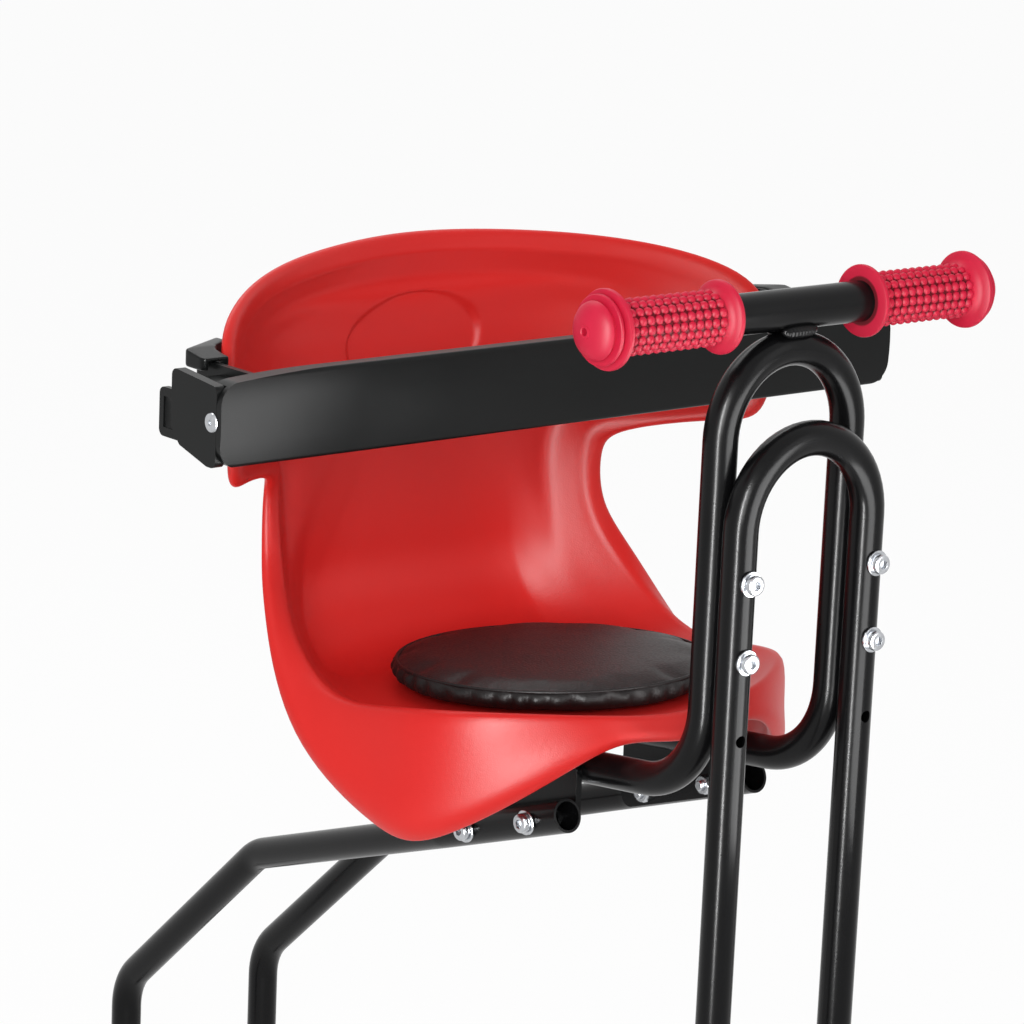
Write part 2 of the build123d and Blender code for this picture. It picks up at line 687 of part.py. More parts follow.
os.makedirs("parts", exist_ok=True)
front_bolts, front_washers = front_fasteners()
rear_bolts, rear_washers, rear_nuts = rear_fasteners()
bar_line = Line((-60, FRAME_Y, BAR_Z), (60, FRAME_Y, BAR_Z))
beads = weld_beads((BAR_R, bar_line), (TUBE_R, hoop_arch(FRAME_Y, ARCH_TOP)))
nodes = {
    "seat_shell": [seat_shell()],
    "seat_pad": [seat_pad()],
    "seat_frame": [seat_frame()],
    "front_hoop": [front_hoop()],
    "handlebar": [handlebar()],
    "weld_beads": beads,
    "front_bolts": front_bolts,
    "front_washers": front_washers,
    "rear_bolts": rear_bolts,
    "rear_washers": rear_washers,
    "rear_nuts": rear_nuts,
    "shell_screws": shell_screws(),
    "safety_bar": [safety_bar()],
    "cheek_screws": cheek_screws(),
}
for side, name in (-1, "right"), (1, "left"):
    nodes[name + "_grip"] = [grip(side)]
    nodes[name + "_rear_leg"] = [rear_leg(side)]
    nodes[name + "_side_plate"] = [side_plate(side)]
    nodes[name + "_bar_cheek"] = [cheek(side)]
    nodes[name + "_wing_bracket"] = [wing_bracket(side)]
    nodes[name + "_release_tab"] = [release_tab(side)]
front_y = -(TUBE_R + TOUCH / 2 + WASHER_T + SCREW_CLEAR + HEAD_H)
centre_y = (front_y + REAR_FOOT_Y + TUBE_R) / 2
for name, pieces in nodes.items():
    solids = []
    for piece in pieces:
        solids += (Pos(0, -centre_y, 0) * piece).solids()
    shape = solids[0] if len(solids) == 1 else Compound(children=solids)
    export_step(shape, f"parts/{name}.step")
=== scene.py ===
# %% [markdown]
# A child's seat for the front of a bicycle: a red moulded bucket with a round black pad on a bent-tube stand,
# a small handlebar with studded grips, and a black safety bar that slides off two hooks on the wings.
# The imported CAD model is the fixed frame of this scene. It could be drawn again from nothing, but then the two
# models would drift apart, so every piece below is placed by the CAD's own sizes.

# %% Load the frame
import bpy
import json
import math
import numpy as np
from mathutils import Matrix, Vector

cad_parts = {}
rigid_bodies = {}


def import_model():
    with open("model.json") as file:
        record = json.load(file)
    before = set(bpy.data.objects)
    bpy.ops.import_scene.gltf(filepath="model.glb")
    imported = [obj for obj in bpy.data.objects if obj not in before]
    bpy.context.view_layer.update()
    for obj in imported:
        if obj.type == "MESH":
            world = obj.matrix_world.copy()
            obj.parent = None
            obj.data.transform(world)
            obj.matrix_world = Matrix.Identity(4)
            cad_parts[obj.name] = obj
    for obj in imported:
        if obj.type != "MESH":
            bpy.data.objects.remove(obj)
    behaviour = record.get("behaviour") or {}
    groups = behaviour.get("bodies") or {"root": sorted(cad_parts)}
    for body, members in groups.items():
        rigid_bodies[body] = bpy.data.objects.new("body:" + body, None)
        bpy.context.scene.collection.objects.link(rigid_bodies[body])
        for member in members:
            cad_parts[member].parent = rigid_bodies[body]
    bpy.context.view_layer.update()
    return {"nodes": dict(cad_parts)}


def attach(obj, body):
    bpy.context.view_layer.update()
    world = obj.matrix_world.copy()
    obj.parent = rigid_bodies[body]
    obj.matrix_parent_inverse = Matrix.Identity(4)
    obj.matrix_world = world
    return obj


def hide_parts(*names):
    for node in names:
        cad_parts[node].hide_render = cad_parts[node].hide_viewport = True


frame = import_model()
nodes = frame["nodes"]

# %% [markdown]
# The CAD is drawn in millimetres with its front hoop at Y = 0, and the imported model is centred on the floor.
# Working in the drawing's own numbers keeps them readable, so one helper turns them into places in the scene.

# %% Sizes and places
MM = 0.001
FRONT_TO_CENTRE = 268.55


def place(points):
    """Drawing millimetres to scene metres."""
    points = np.asarray(points, float) - (0, FRONT_TO_CENTRE, 0)
    return points * MM


hoop_half = 46.0
tube_r = 9.5
frame_y = 19.3
bar_z = 603.6

# %% [markdown]
# Finishes are shader trees. Wiring them one link at a time hides what they say, so one small class wraps an output
# socket and lets Python's own operators add the Math nodes. Every other node comes from one method of the finish.


# %% Shader arithmetic
class Tap:
    """An output socket of a shader tree that can be used in Python sums."""

    def __init__(self, finish, socket):
        self.finish = finish
        self.socket = socket

    def __add__(self, other):
        return self.finish.sum("ADD", self, other)

    def __radd__(self, other):
        return self.finish.sum("ADD", other, self)

    def __mul__(self, other):
        return self.finish.sum("MULTIPLY", self, other)

    def __rmul__(self, other):
        return self.finish.sum("MULTIPLY", other, self)


class Finish:
    """A material whose tree is written as expressions."""

    def __init__(self, name):
        self.material = bpy.data.materials.new(name)
        self.material.use_nodes = True
        self.tree = self.material.node_tree
        self.shader = self.tree.nodes["Principled BSDF"]
        self.coords = self.node("ShaderNodeTexCoord", output="Object")

    def plug(self, value, socket):
        if isinstance(value, Tap):
            self.tree.links.new(value.socket, socket)
        else:
            socket.default_value = value

    def node(self, kind, settings={}, sockets={}, output=0):
        made = self.tree.nodes.new(kind)
        for name, value in settings.items():
            setattr(made, name, value)
        for name, value in sockets.items():
            self.plug(value, made.inputs[name])
        return Tap(self, made.outputs[output])

    def sum(self, operation, a, b):
        return self.node("ShaderNodeMath", {"operation": operation}, {0: a, 1: b})

    def noise(self, scale, detail=3.0, roughness=0.55):
        return self.node("ShaderNodeTexNoise", {}, {
            "Vector": self.coords, "Scale": scale, "Detail": detail, "Roughness": roughness,
        })

    def ramp(self, value, low, high, start=0.0, end=1.0):
        return self.node("ShaderNodeMapRange", {"clamp": True}, {
            "Value": value, "From Min": low, "From Max": high, "To Min": start, "To Max": end,
        })

    def mix(self, factor, a, b):
        return self.node("ShaderNodeMix", {"data_type": "RGBA"}, {0: factor, 6: a, 7: b}, output=2)

    def bump(self, height, strength, distance):
        return self.node("ShaderNodeBump", {}, {
            "Height": height, "Strength": strength, "Distance": distance,
        }, output="Normal")

    def surface(self, **values):
        for name, value in values.items():
            self.plug(value, self.shader.inputs[name.replace("_", " ")])
        return self.material


def tone(red, green, blue):
    """An sRGB colour in 0 to 255, as the linear colour that a shader takes."""
    channels = []
    for value in (red, green, blue):
        value /= 255
        channels.append(value / 12.92 if value <= 0.04045 else ((value + 0.055) / 1.055) ** 2.4)
    return (*channels, 1.0)


print("finish kit ready; a mid red is", [round(c, 3) for c in tone(214, 36, 33)])

# %% [markdown]
# The bucket is injection-moulded plastic: a warm red, satin, with a very fine spark-eroded grain from the mould.
# A flat colour would look like clay. Two noises at different sizes vary the colour and the gloss by a few percent,
# and a third, under a millimetre across, is the grain that breaks the highlights up.


# %% Red plastic
def red_plastic():
    skin = Finish("red_plastic")
    cloud = skin.noise(9.0)
    grain = skin.noise(1500.0, 2.0, 0.5)
    mottle = skin.noise(260.0, 2.0, 0.5)
    colour = skin.mix(cloud, tone(212, 30, 30), tone(222, 42, 36))
    height = grain * 0.6 + mottle * 0.4
    return skin.surface(
        Base_Color=colour,
        Roughness=0.32 + 0.1 * cloud + 0.06 * grain,
        Normal=skin.bump(height, 0.3, 0.0005),
        Specular_IOR_Level=0.21,
    )


RED_PLASTIC = red_plastic()
print("made", RED_PLASTIC.name)

# %% [markdown]
# The stand is steel tube under black powder paint with a high gloss. Real paint is never a mirror: it has a slight
# orange peel of a few millimetres and the odd duller patch. The bend of the highlight strips comes from that bump.


# %% Black paint
def black_paint():
    paint = Finish("black_paint")
    peel = paint.noise(420.0, 2.0, 0.45)
    patch = paint.noise(26.0)
    return paint.surface(
        Base_Color=paint.mix(patch, tone(9, 9, 10), tone(15, 15, 16)),
        Roughness=0.2 + 0.08 * patch,
        Normal=paint.bump(peel, 0.04, 0.0006),
        Specular_IOR_Level=0.14,
    )


BLACK_PAINT = black_paint()
print("made", BLACK_PAINT.name)

# %% [markdown]
# The safety bar, its end plates, tabs and hooks are a harder black plastic. It is greyer and duller than the paint,
# and its mould grain is coarse enough to spread the light along the bar's broad face.


# %% Black plastic
def black_plastic():
    skin = Finish("black_plastic")
    grain = skin.noise(1150.0, 3.0, 0.6)
    cloud = skin.noise(14.0)
    return skin.surface(
        Base_Color=skin.mix(cloud, tone(15, 16, 16), tone(22, 23, 23)),
        Roughness=0.24 + 0.06 * cloud + 0.06 * grain,
        Normal=skin.bump(grain, 0.1, 0.0004),
        Specular_IOR_Level=0.13,
    )


BLACK_PLASTIC = black_plastic()
print("made", BLACK_PLASTIC.name)

# %% [markdown]
# Zinc plating on the screws is bright but slightly cloudy, and the cut of the lathe leaves faint marks. Metallic is
# one all over, so the noise works on colour and roughness only.


# %% Zinc
def zinc():
    plate = Finish("zinc")
    cloud = plate.noise(320.0)
    scuff = plate.noise(2400.0, 2.0)
    return plate.surface(
        Base_Color=plate.mix(cloud, tone(160, 162, 166), tone(204, 206, 209)),
        Roughness=0.16 + 0.14 * cloud,
        Normal=plate.bump(scuff, 0.06, 0.0002),
        Metallic=1.0,
    )


ZINC = zinc()
print("made", ZINC.name)

# %% [markdown]
# The grips are soft rubber in a bluer, deeper red than the bucket. Rubber has a waxy surface: medium roughness and a
# weak, wide highlight. Painted shade darkens the small holes between the studs to a deep red; the holes are found by
# their distance to the handlebar's own axis, so nothing has to be painted by hand.


# %% Grip rubber
def grip_rubber():
    rubber = Finish("grip_rubber")
    dust = rubber.noise(60.0)
    skin = rubber.noise(900.0, 2.0)
    axis = place((0, frame_y, bar_z))
    off_axis = rubber.node("ShaderNodeVectorMath", {"operation": "SUBTRACT"}, {0: rubber.coords, 1: tuple(axis)})
    flat = rubber.node("ShaderNodeVectorMath", {"operation": "MULTIPLY"}, {0: off_axis, 1: (0, 1, 1)})
    depth = rubber.node("ShaderNodeVectorMath", {"operation": "LENGTH"}, {0: flat}, output="Value")
    along = rubber.node("ShaderNodeSeparateXYZ", {}, {0: rubber.coords}, output="X")
    past_studs = rubber.ramp(rubber.sum("ABSOLUTE", along, 0.0), 0.1215, 0.1225)
    # Painted shade: this mask is zero in the holes between the studs, where the colour falls to a dark red.
    unshaded = rubber.sum("MAXIMUM", rubber.ramp(depth, 0.01285, 0.0138), past_studs)
    bright = rubber.mix(dust, tone(198, 16, 52), tone(214, 28, 66))
    return rubber.surface(
        Base_Color=rubber.mix(unshaded, tone(104, 6, 22), bright),
        Roughness=0.42 + 0.16 * dust,
        Normal=rubber.bump(skin, 0.1, 0.0004),
        Specular_IOR_Level=0.2,
    )


GRIP_RUBBER = grip_rubber()
print("made", GRIP_RUBBER.name)

# %% [markdown]
# The pad is covered in black leatherette. Its grain is a field of small rounded cells, which Voronoi distance gives
# directly; a slower noise makes some cells deeper than others, as rollers do on the real sheet.


# %% Pad leather
def pad_leather():
    hide = Finish("pad_leather")
    cells = hide.node("ShaderNodeTexVoronoi", {"feature": "SMOOTH_F1"}, {
        "Vector": hide.coords, "Scale": 620.0, "Smoothness": 0.4,
    }, output="Distance")
    depth = hide.noise(45.0)
    wear = hide.noise(12.0)
    return hide.surface(
        Base_Color=hide.mix(wear, tone(16, 12, 12), tone(23, 18, 18)),
        Roughness=0.36 + 0.14 * wear + 0.1 * cells,
        Normal=hide.bump(cells * (0.4 + 0.6 * depth), 0.3, 0.0006),
        Specular_IOR_Level=0.22,
    )


PAD_LEATHER = pad_leather()
print("made", PAD_LEATHER.name)

# %% [markdown]
# The carried-over CAD pieces keep their solids and take these finishes. The table says which piece is made of what.

# %% Dress the CAD pieces
wear_table = {
    BLACK_PAINT: ["seat_frame", "front_hoop", "handlebar", "left_rear_leg", "right_rear_leg", "left_side_plate",
                  "right_side_plate"],
    BLACK_PLASTIC: ["safety_bar", "left_bar_cheek", "right_bar_cheek", "left_release_tab", "right_release_tab"],
}
for material, names in wear_table.items():
    for name in names:
        nodes[name].data.materials.clear()
        nodes[name].data.materials.append(material)
print("dressed", sum(len(names) for names in wear_table.values()), "CAD nodes")

# %% [markdown]
# Moulded and stamped pieces have no knife edges. The CAD keeps the corners of the end plates, tabs and side plates
# square, so a bevel rounds them here by a millimetre or two. A weld goes first, so that each edge is one edge.


# %% Round the corners
def round_off(made, width):
    """Join split edges and round every true corner."""
    weld = made.modifiers.new("weld", "WELD")
    weld.merge_threshold = 0.00001
    rounding = made.modifiers.new("round", "BEVEL")
    rounding.width = width * MM
    rounding.segments = 3
    rounding.limit_method = "ANGLE"
    rounding.angle_limit = math.radians(40)


for name, width in ("bar_cheek", 1.6), ("release_tab", 0.7), ("side_plate", 0.6):
    for hand in "left_", "right_":
        round_off(nodes[hand + name], width)
print("rounded the corners of 6 CAD nodes")

# %% [markdown]
# New pieces are plain meshes at the origin. A grid of points with closed columns makes the bucket; a lathe makes
# everything that is turned. Both end in the same helper, which shades smooth and keeps true corners sharp.


# %% Mesh helpers
def piece(name, points, faces, material, sharp=None):
    """A mesh object in the scene, in metres."""
    mesh = bpy.data.meshes.new(name)
    mesh.from_pydata([tuple(p) for p in points], [], faces)
    mesh.materials.append(material)
    mesh.shade_smooth()
    if sharp:
        mesh.set_sharp_from_angle(angle=math.radians(sharp))
    made = bpy.data.objects.new(name, mesh)
    bpy.context.scene.collection.objects.link(made)
    return made


def settle(made, body, slot, *replaced):
    """Attach a finished piece to the body it rides on and hide the CAD nodes it stands for; the slot is not used."""
    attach(made, body)
    if replaced:
        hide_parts(*replaced)
    print(made.name, "rides", body, "with", len(made.data.polygons), "faces")
    return made


def grid_faces(rows, columns):
    """Quads of a grid whose columns close on themselves."""
    faces = []
    for row in range(rows - 1):
        for column in range(columns):
            after = (column + 1) % columns
            low = row * columns
            faces.append((low + column, low + after, low + columns + after, low + columns + column))
    return faces


print("mesh helpers ready")

# %% [markdown]
# The bucket is the piece that takes the most care. It could be sculpted by eye, but its rim is what the camera sees
# first, so the rim rules the form: seventeen stations round one half, each with the ridge where the wall turns over,
# the step to the edge of the lip and the step to the foot of the inner wall. These are the CAD's own stations.

# %% Stations of the rim
pan_half, waist_half, wing_half = 130.0, 116.5, 188.0
lip_y, back_y, wing_y = 86.0, 340.0, 252.0
pan_z, waist_z, wing_z, crown_z = 366.0, 455.0, 528.0, 585.0
wall, bend_r, pan_tilt = 4.0, 55.0, 0.065
stations = np.array([
    ((0, lip_y, pan_z), (0, -8, -12), (0, 18, -4)),
    ((0.37 * pan_half, lip_y + 3, pan_z + 4), (-1, -8, -13), (-4, 18, -8)),
    ((0.68 * pan_half, lip_y + 24, pan_z + 6), (-2, -9, -38), (-9, 16, -12)),
    ((0.92 * pan_half, lip_y + 59, pan_z + 4), (3, 2, -72), (-17, 12, -12)),
    ((pan_half, lip_y + 105, pan_z - 3), (8, -2, -64), (-20, 3, -12)),
    ((1.03 * pan_half, lip_y + 147, pan_z - 4), (16, 10, -24), (-20, 2, -12)),
    ((0.98 * pan_half, back_y - 64, pan_z + 18), (12, 10, 8), (-18, 12, -21)),
    ((waist_half + 1.5, back_y - 36, waist_z - 35), (10, 2, 5), (-17, 18, -15)),
    ((waist_half, back_y - 29.5, waist_z), (9, -2, 0), (-18, 22, -3)),
    ((waist_half + 8.5, back_y - 37, waist_z + 22), (10, -7, -6), (-16, 26, 6)),
    ((0.88 * wing_half, wing_y + 21, wing_z - 39), (6, -9, -9), (-26, 29, 12)),
    ((0.98 * wing_half, wing_y + 2, wing_z - 28), (11, -9, -12), (-26, 33, 8)),
    ((wing_half, wing_y, wing_z), (12, -10, 0), (-25, 33, 0)),
    ((0.94 * wing_half, wing_y + 16, wing_z + 28), (14, -8, 10), (-23, 26, -7)),
    ((0.73 * wing_half, back_y - 43, crown_z - 11), (4, 0, 11), (-18, 17, -11)),
    ((0.4 * wing_half, back_y - 19, crown_z - 3), (1, 4, 11), (-8, 11, -14)),
    ((0, back_y - 8, crown_z), (0, 6, 11), (0, 6, -14)),
], float)
ridge = stations[:, 0]
edge = ridge + stations[:, 1]
foot = ridge + stations[:, 2]
print("stations:", len(stations), "wing tip to wing tip:", round(2 * edge[:, 0].max()), "mm")

# %% [markdown]
# Straight lines between so few stations would show. A cubic spline could be bought from a library, but a natural
# spline is one small linear solve, and writing it shows why it is smooth: neighbouring pieces share slope and
# curvature. Round the rim the spline closes on itself; across the rim it runs by distance, so it can't overshoot.


# %% Splines
def spline(points, at, knots, closed=False):
    """Cubic spline through points at the knots, evaluated at the given parameters."""
    count = len(points)
    gap = np.diff(knots)
    n = count if closed else count - 2
    system = np.zeros((n, n))
    right = np.zeros((n, points.shape[1]))
    ahead = np.concatenate([points[1:], points[:1]]) if closed else points[1:]
    slope = (ahead - points[:len(ahead)]) / gap[:len(ahead), None]
    for row in range(n):
        k = row if closed else row + 1
        before, after = gap[k - 1], gap[k]
        system[row, row] = 2 * (before + after)
        if closed or row > 0:
            system[row, row - 1] += before
        if closed or row < n - 1:
            system[row, (row + 1) % n] += after
        right[row] = 6 * (slope[k] - slope[k - 1])
    bend = np.linalg.solve(system, right)
    if closed:
        bend = np.concatenate([bend, bend[:1]])
        points = np.concatenate([points, points[:1]])
    else:
        bend = np.pad(bend, ((1, 1), (0, 0)))
    k = np.clip(np.searchsorted(knots, at, side="right") - 1, 0, len(gap) - 1)
    h = gap[k][:, None]
    a = (knots[k + 1] - at)[:, None]
    b = (at - knots[k])[:, None]
    cubic = (bend[k] * a ** 3 + bend[k + 1] * b ** 3) / (6 * h)
    return cubic + (points[k] / h - bend[k] * h / 6) * a + (points[k + 1] / h - bend[k + 1] * h / 6) * b


columns = 288


def ring(half):
    """The smooth closed ring through the stations of one half and their mirror images, from the crown round."""
    row = np.concatenate([half[::-1], half[1:-1] * (-1, 1, 1)])
    return spline(row, np.arange(columns) * len(row) / columns, np.arange(len(row) + 1.0), closed=True)


ridge, edge, foot = ring(ridge), ring(edge), ring(foot)
print("rings of", columns, "points; the wing's edge comes forward to", round(edge[:, 1].min()), "mm")

# %% [markdown]
# Inside the rim the bucket follows a spine: a flat floor, a quarter bend and an upright back. A ray runs from the
# middle of the back to each point of the foot and rises off the spine towards its end. Rays from a point that sees the
# whole rim can't cross; that is why the middle of the back was chosen. Blending the rise straight along each ray would
# leave folds where neighbours differ, so it is split into waves round the rim, and short waves fade sooner, as they do
# in a stretched sheet. The last ring stops a few millimetres short of the foot, which leaves room for a crease.

# %% Rays over the seat
floor_y, floor_z = lip_y + 18, pan_z - 4
floor_run = back_y - floor_y - bend_r
quarter = bend_r * math.pi / 2
bend_y = floor_y + floor_run
bend_z = floor_z - pan_tilt * floor_run + bend_r


def spine(s):
    """Point and inward normal of the middle line, by length from the front."""
    turn = np.clip((s - floor_run) / bend_r, 0, math.pi / 2)
    on_floor = np.minimum(s, floor_run)
    rise = np.maximum(s - floor_run - quarter, 0)
    y = floor_y + on_floor + bend_r * np.sin(turn)
    z = floor_z - pan_tilt * on_floor + bend_r * (1 - np.cos(turn)) + rise
    return np.stack([y, z], -1), np.stack([-np.sin(turn), np.cos(turn)], -1)


def on_spine(points):
    """Length along the spine beside each point, and how far the point stands off it."""
    y, z = points[:, 1], points[:, 2]
    high = z > bend_z
    turn = np.where(high, math.pi / 2, np.clip(np.arctan2(y - bend_y, bend_z - z), 0, math.pi / 2))
    s = np.where(high, floor_run, np.minimum(y - floor_y, floor_run)) + bend_r * turn + np.maximum(z - bend_z, 0)
    at, up = spine(s)
    return s, ((points[:, 1:] - at) * up).sum(1)


ray_rings = 47
crease = 5
core = floor_run + quarter + wing_z - bend_z
reach, height = on_spine(foot)
short_of_foot = 1 - crease / np.hypot(foot[:, 0], reach - core)
share = np.arange(1, ray_rings + 1)[:, None] / ray_rings * short_of_foot
at, up = spine(core + (reach - core) * share)
waves = np.fft.rfft(height)
fade = np.maximum(2.5, np.arange(len(waves)))
lift = np.fft.irfft(waves * share.mean(1, keepdims=True) ** fade, columns)
rays = np.concatenate([(foot[:, 0] * share)[..., None], at + up * lift[..., None]], -1)
print("rings inside the foot:", len(rays), "spine to the crown:", round(float(reach.max())), "mm")

# %% [markdown]
# The wall is four millimetres thick. Each ring is moved out along the surface normal, found from its neighbours. The
# inner rings, one rounded edge and the outer rings in reverse then make one closed section at every column. The step
# lists say how many rows lie between rings: most in the middle of the back, where the oval needs them, and at the rim.


# %% Inner and outer rings
def unit(v):
    return v / np.linalg.norm(v, axis=-1, keepdims=True)


def out_of(rings):
    """The way out through the wall at every point of the rings."""
    along = np.roll(rings, -1, 1) - np.roll(rings, 1, 1)
    steps = unit(np.diff(rings, axis=0))
    across = np.concatenate([steps[:1], steps[:-1] + steps[1:], steps[-1:]])
    return unit(np.cross(across, along))


strip = ridge - foot
inner = np.stack([*rays, foot, foot + 0.2 * strip, foot + 0.72 * strip, ridge, (ridge + edge) / 2, edge])
inner[-2] -= out_of(inner)[-2] * 0.1 * np.linalg.norm(edge - ridge, axis=1, keepdims=True)
outer = inner + out_of(inner) * wall
tip_round = 1.6
tip = (inner[-1] + outer[-1]) / 2 + tip_round * unit(inner[-1] - inner[-2])
section = np.concatenate([inner, tip[None], outer[::-1]])
ray_steps = [8] * 6 + [3] * 16 + [1] * 24
wall_steps = [3, 3, 5, 4, 7, 7, 3]
foot_row = sum(ray_steps) + wall_steps[0]
ridge_row = sum(ray_steps) + sum(wall_steps[:4])
inside_rows = sum(ray_steps) + sum(wall_steps)
steps = ray_steps + wall_steps + wall_steps[::-1] + [1] * len(ray_steps)
bucket_grid = []
for column in range(columns):
    points = section[:, column]
    knots = np.concatenate([[0], np.cumsum(np.linalg.norm(np.diff(points, axis=0), axis=1))])
    at = np.concatenate([np.linspace(knots[k], knots[k + 1], n, False) for k, n in enumerate(steps)] + [knots[-1:]])
    bucket_grid.append(spline(points, at, knots))
bucket_grid = np.stack(bucket_grid, 1)
print("bucket grid:", bucket_grid.shape[:2])

# %% [markdown]
# A mould has no hard line where the wall meets the back, so the inner face is relaxed there: every point moves a
# little towards the mean of its four neighbours, again and again. The weight dies out before the ridge, so the rim,
# which the picture fixes, stays where it is.

# %% Relax the inner face
level = np.arange(len(bucket_grid))
ease = np.clip((level - foot_row + 14) / 8, 0, 1) * np.clip((ridge_row - 2 - level) / 6, 0, 1)
for sweep in range(40):
    beside = np.roll(bucket_grid, 1, 1) + np.roll(bucket_grid, -1, 1)
    above = np.roll(bucket_grid, 1, 0) + np.roll(bucket_grid, -1, 0)
    bucket_grid += 0.5 * ease[:, None, None] * ((beside + above) / 4 - bucket_grid)
print("relaxed rows:", int((ease > 0).sum()), "of", len(bucket_grid))

# %% [markdown]
# The backrest has a shallow oval pressed into it, about a hand wide. It could be a bump in the finish, but a
# real step throws a real highlight at its rim, so the inner face is pushed back by a smooth step inside an ellipse.

# %% Oval in the backrest and the finished bucket
oval_half, oval_rise, oval_z = 51, 31, 531
oval_depth, oval_slope = 2.6, 0.075
oval = np.hypot(bucket_grid[:, :, 0] / oval_half, (bucket_grid[:, :, 2] - oval_z) / oval_rise)
press = np.clip((1 - oval) / oval_slope, 0, 1)
press = press * press * (3 - 2 * press)
press[inside_rows:] = 0
bucket_grid[:, :, 1] += oval_depth * press
rows = len(bucket_grid)
poles = [(0, back_y + oval_depth, wing_z), (0, back_y + wall, wing_z)]
points = np.concatenate([bucket_grid.reshape(-1, 3), poles])
faces = grid_faces(rows, columns)
first, last, base = rows * columns, rows * columns + 1, (rows - 1) * columns
for column in range(columns):
    after = (column + 1) % columns
    faces.append((first, after, column))
    faces.append((last, base + column, base + after))
bucket = piece("bucket", place(points), faces, RED_PLASTIC)
settle(bucket, "stand", "red_plastic", "seat_shell")

# %% [markdown]
# The pad is a disc of foam in a leatherette cover drawn tight underneath, so its side is gathered. It is made as soft
# goods are: a lathe form is remeshed evenly, blown up as cloth under pressure, and kept close to where it started. The
# gathers come after, because a remesh would wipe them out.

# %% Pad form
pad_y = lip_y + 112
pad_gap = 0.9
pad_origin = np.array((0, pad_y, floor_z - pan_tilt * (pad_y - floor_y) + pad_gap))
pad_up = np.array((0, pan_tilt, 1)) / math.hypot(pan_tilt, 1)
pad_front = np.cross(pad_up, (1, 0, 0))


def lathe(profile, sides, hexed=()):
    """Rings of a turned form about Z; the rings listed in hexed are six-sided."""
    angle = np.arange(sides) * 2 * math.pi / sides
    six = math.cos(math.pi / 6) / np.cos((angle + math.pi / 6) % (math.pi / 3) - math.pi / 6)
    rings = []
    for k, (r, z) in enumerate(profile):
        reach = r * six if k in hexed else r * np.ones(sides)
        rings.append(np.stack([reach * np.cos(angle), reach * np.sin(angle), np.full(sides, float(z))], -1))
    points = np.concatenate(rings)
    faces = grid_faces(len(profile), sides)
    faces.append(tuple(range(sides))[::-1])
    faces.append(tuple((len(profile) - 1) * sides + k for k in range(sides)))
    return points, faces


pad_profile = [
    (4, 1), (60, 1), (88, 1.2), (92.4, 3), (94, 7), (93.2, 12), (90.4, 14.6), (60, 16.4), (30, 17.4), (4, 17.8),
]
points, faces = lathe(pad_profile, 96)
pad = piece("pad", points * MM, faces, PAD_LEATHER)
remesh = pad.modifiers.new("even", "REMESH")
remesh.mode = "VOXEL"
remesh.voxel_size = 0.0045


def apply_modifiers(made):
    """Make the evaluated form the piece's own mesh."""
    graph = bpy.context.evaluated_depsgraph_get()
    mesh = bpy.data.meshes.new_from_object(made.evaluated_get(graph))
    made.modifiers.clear()
    made.data = mesh
    return mesh


apply_modifiers(pad)
print("pad cloth points:", len(pad.data.vertices))

# %% [markdown]
# Twenty frames of cloth with a little inner pressure round the form off. A cap on the movement keeps the pad inside
# the room that its solid has in the CAD, and its underside stays flat because the seat holds it.


# %% Blow the pad up
def coordinates(mesh):
    points = np.empty(len(mesh.vertices) * 3)
    mesh.vertices.foreach_get("co", points)
    return points.reshape(-1, 3)


swell_cap = 2.4 * MM
seat_side = 0.6 * MM
before = coordinates(pad.data)
cloth = pad.modifiers.new("cover", "CLOTH")
cloth.settings.use_pressure = True
cloth.settings.uniform_pressure_force = 4.0
cloth.settings.effector_weights.gravity = 0.0
for step in range(1, 21):
    bpy.context.scene.frame_set(step)
apply_modifiers(pad)
bpy.context.scene.frame_set(1)
after = coordinates(pad.data)
move = after - before
reach = np.linalg.norm(move, axis=1, keepdims=True)
move *= np.minimum(1, swell_cap / np.maximum(reach, 1e-9))
after = before + move
after[:, 2] = np.maximum(after[:, 2], seat_side)
pad.data.vertices.foreach_set("co", after.ravel())
print("pad swelled by", round(float(reach.max()) / MM, 1), "mm, kept to", swell_cap / MM)

# %% [markdown]
# The cover is drawn in under the pad by an elastic, which leaves short upright folds round the side. They are not all
# alike, so the pitch of the wave that makes them drifts round the pad, and it fades out towards the top seam.

# %% Gathers and place of the pad
fine = pad.modifiers.new("smooth", "SUBSURF")
fine.levels = fine.render_levels = 1
apply_modifiers(pad)
points = coordinates(pad.data)
angle = np.arctan2(points[:, 1], points[:, 0])
radius = np.hypot(points[:, 0], points[:, 1])
side = np.clip((radius - 0.085) / 0.006, 0, 1) * np.clip((0.0138 - points[:, 2]) / 0.005, 0, 1)
fold = np.abs(np.sin(21 * angle + 0.9 * np.sin(5 * angle) + 0.7 * np.sin(8 * angle + 1))) - 0.75
fold_depth = 2.2 * MM
shift = fold_depth * side * fold / radius
points[:, 0] += points[:, 0] * shift
points[:, 1] += points[:, 1] * shift
seam_z = 13.2 * MM
on_seam = points[np.abs(points[:, 2] - seam_z) < 1.2 * MM]
seam_r = float(np.median(np.hypot(on_seam[:, 0], on_seam[:, 1])))
turn = np.stack([(1, 0, 0), pad_front, pad_up], 1)
pad.data.vertices.foreach_set("co", (points @ turn.T + place(pad_origin)).ravel())
pad.data.materials.clear()
pad.data.materials.append(PAD_LEATHER)
pad.data.shade_smooth()
settle(pad, "stand", "pad_leather", "seat_pad")

# %% [markdown]
# Geometry Nodes suit what repeats or follows a path. Each tree below is built by one helper that adds a node, sets
# its inputs and links, so that the rule of the piece can be read from top to bottom. Sizes are named inputs.


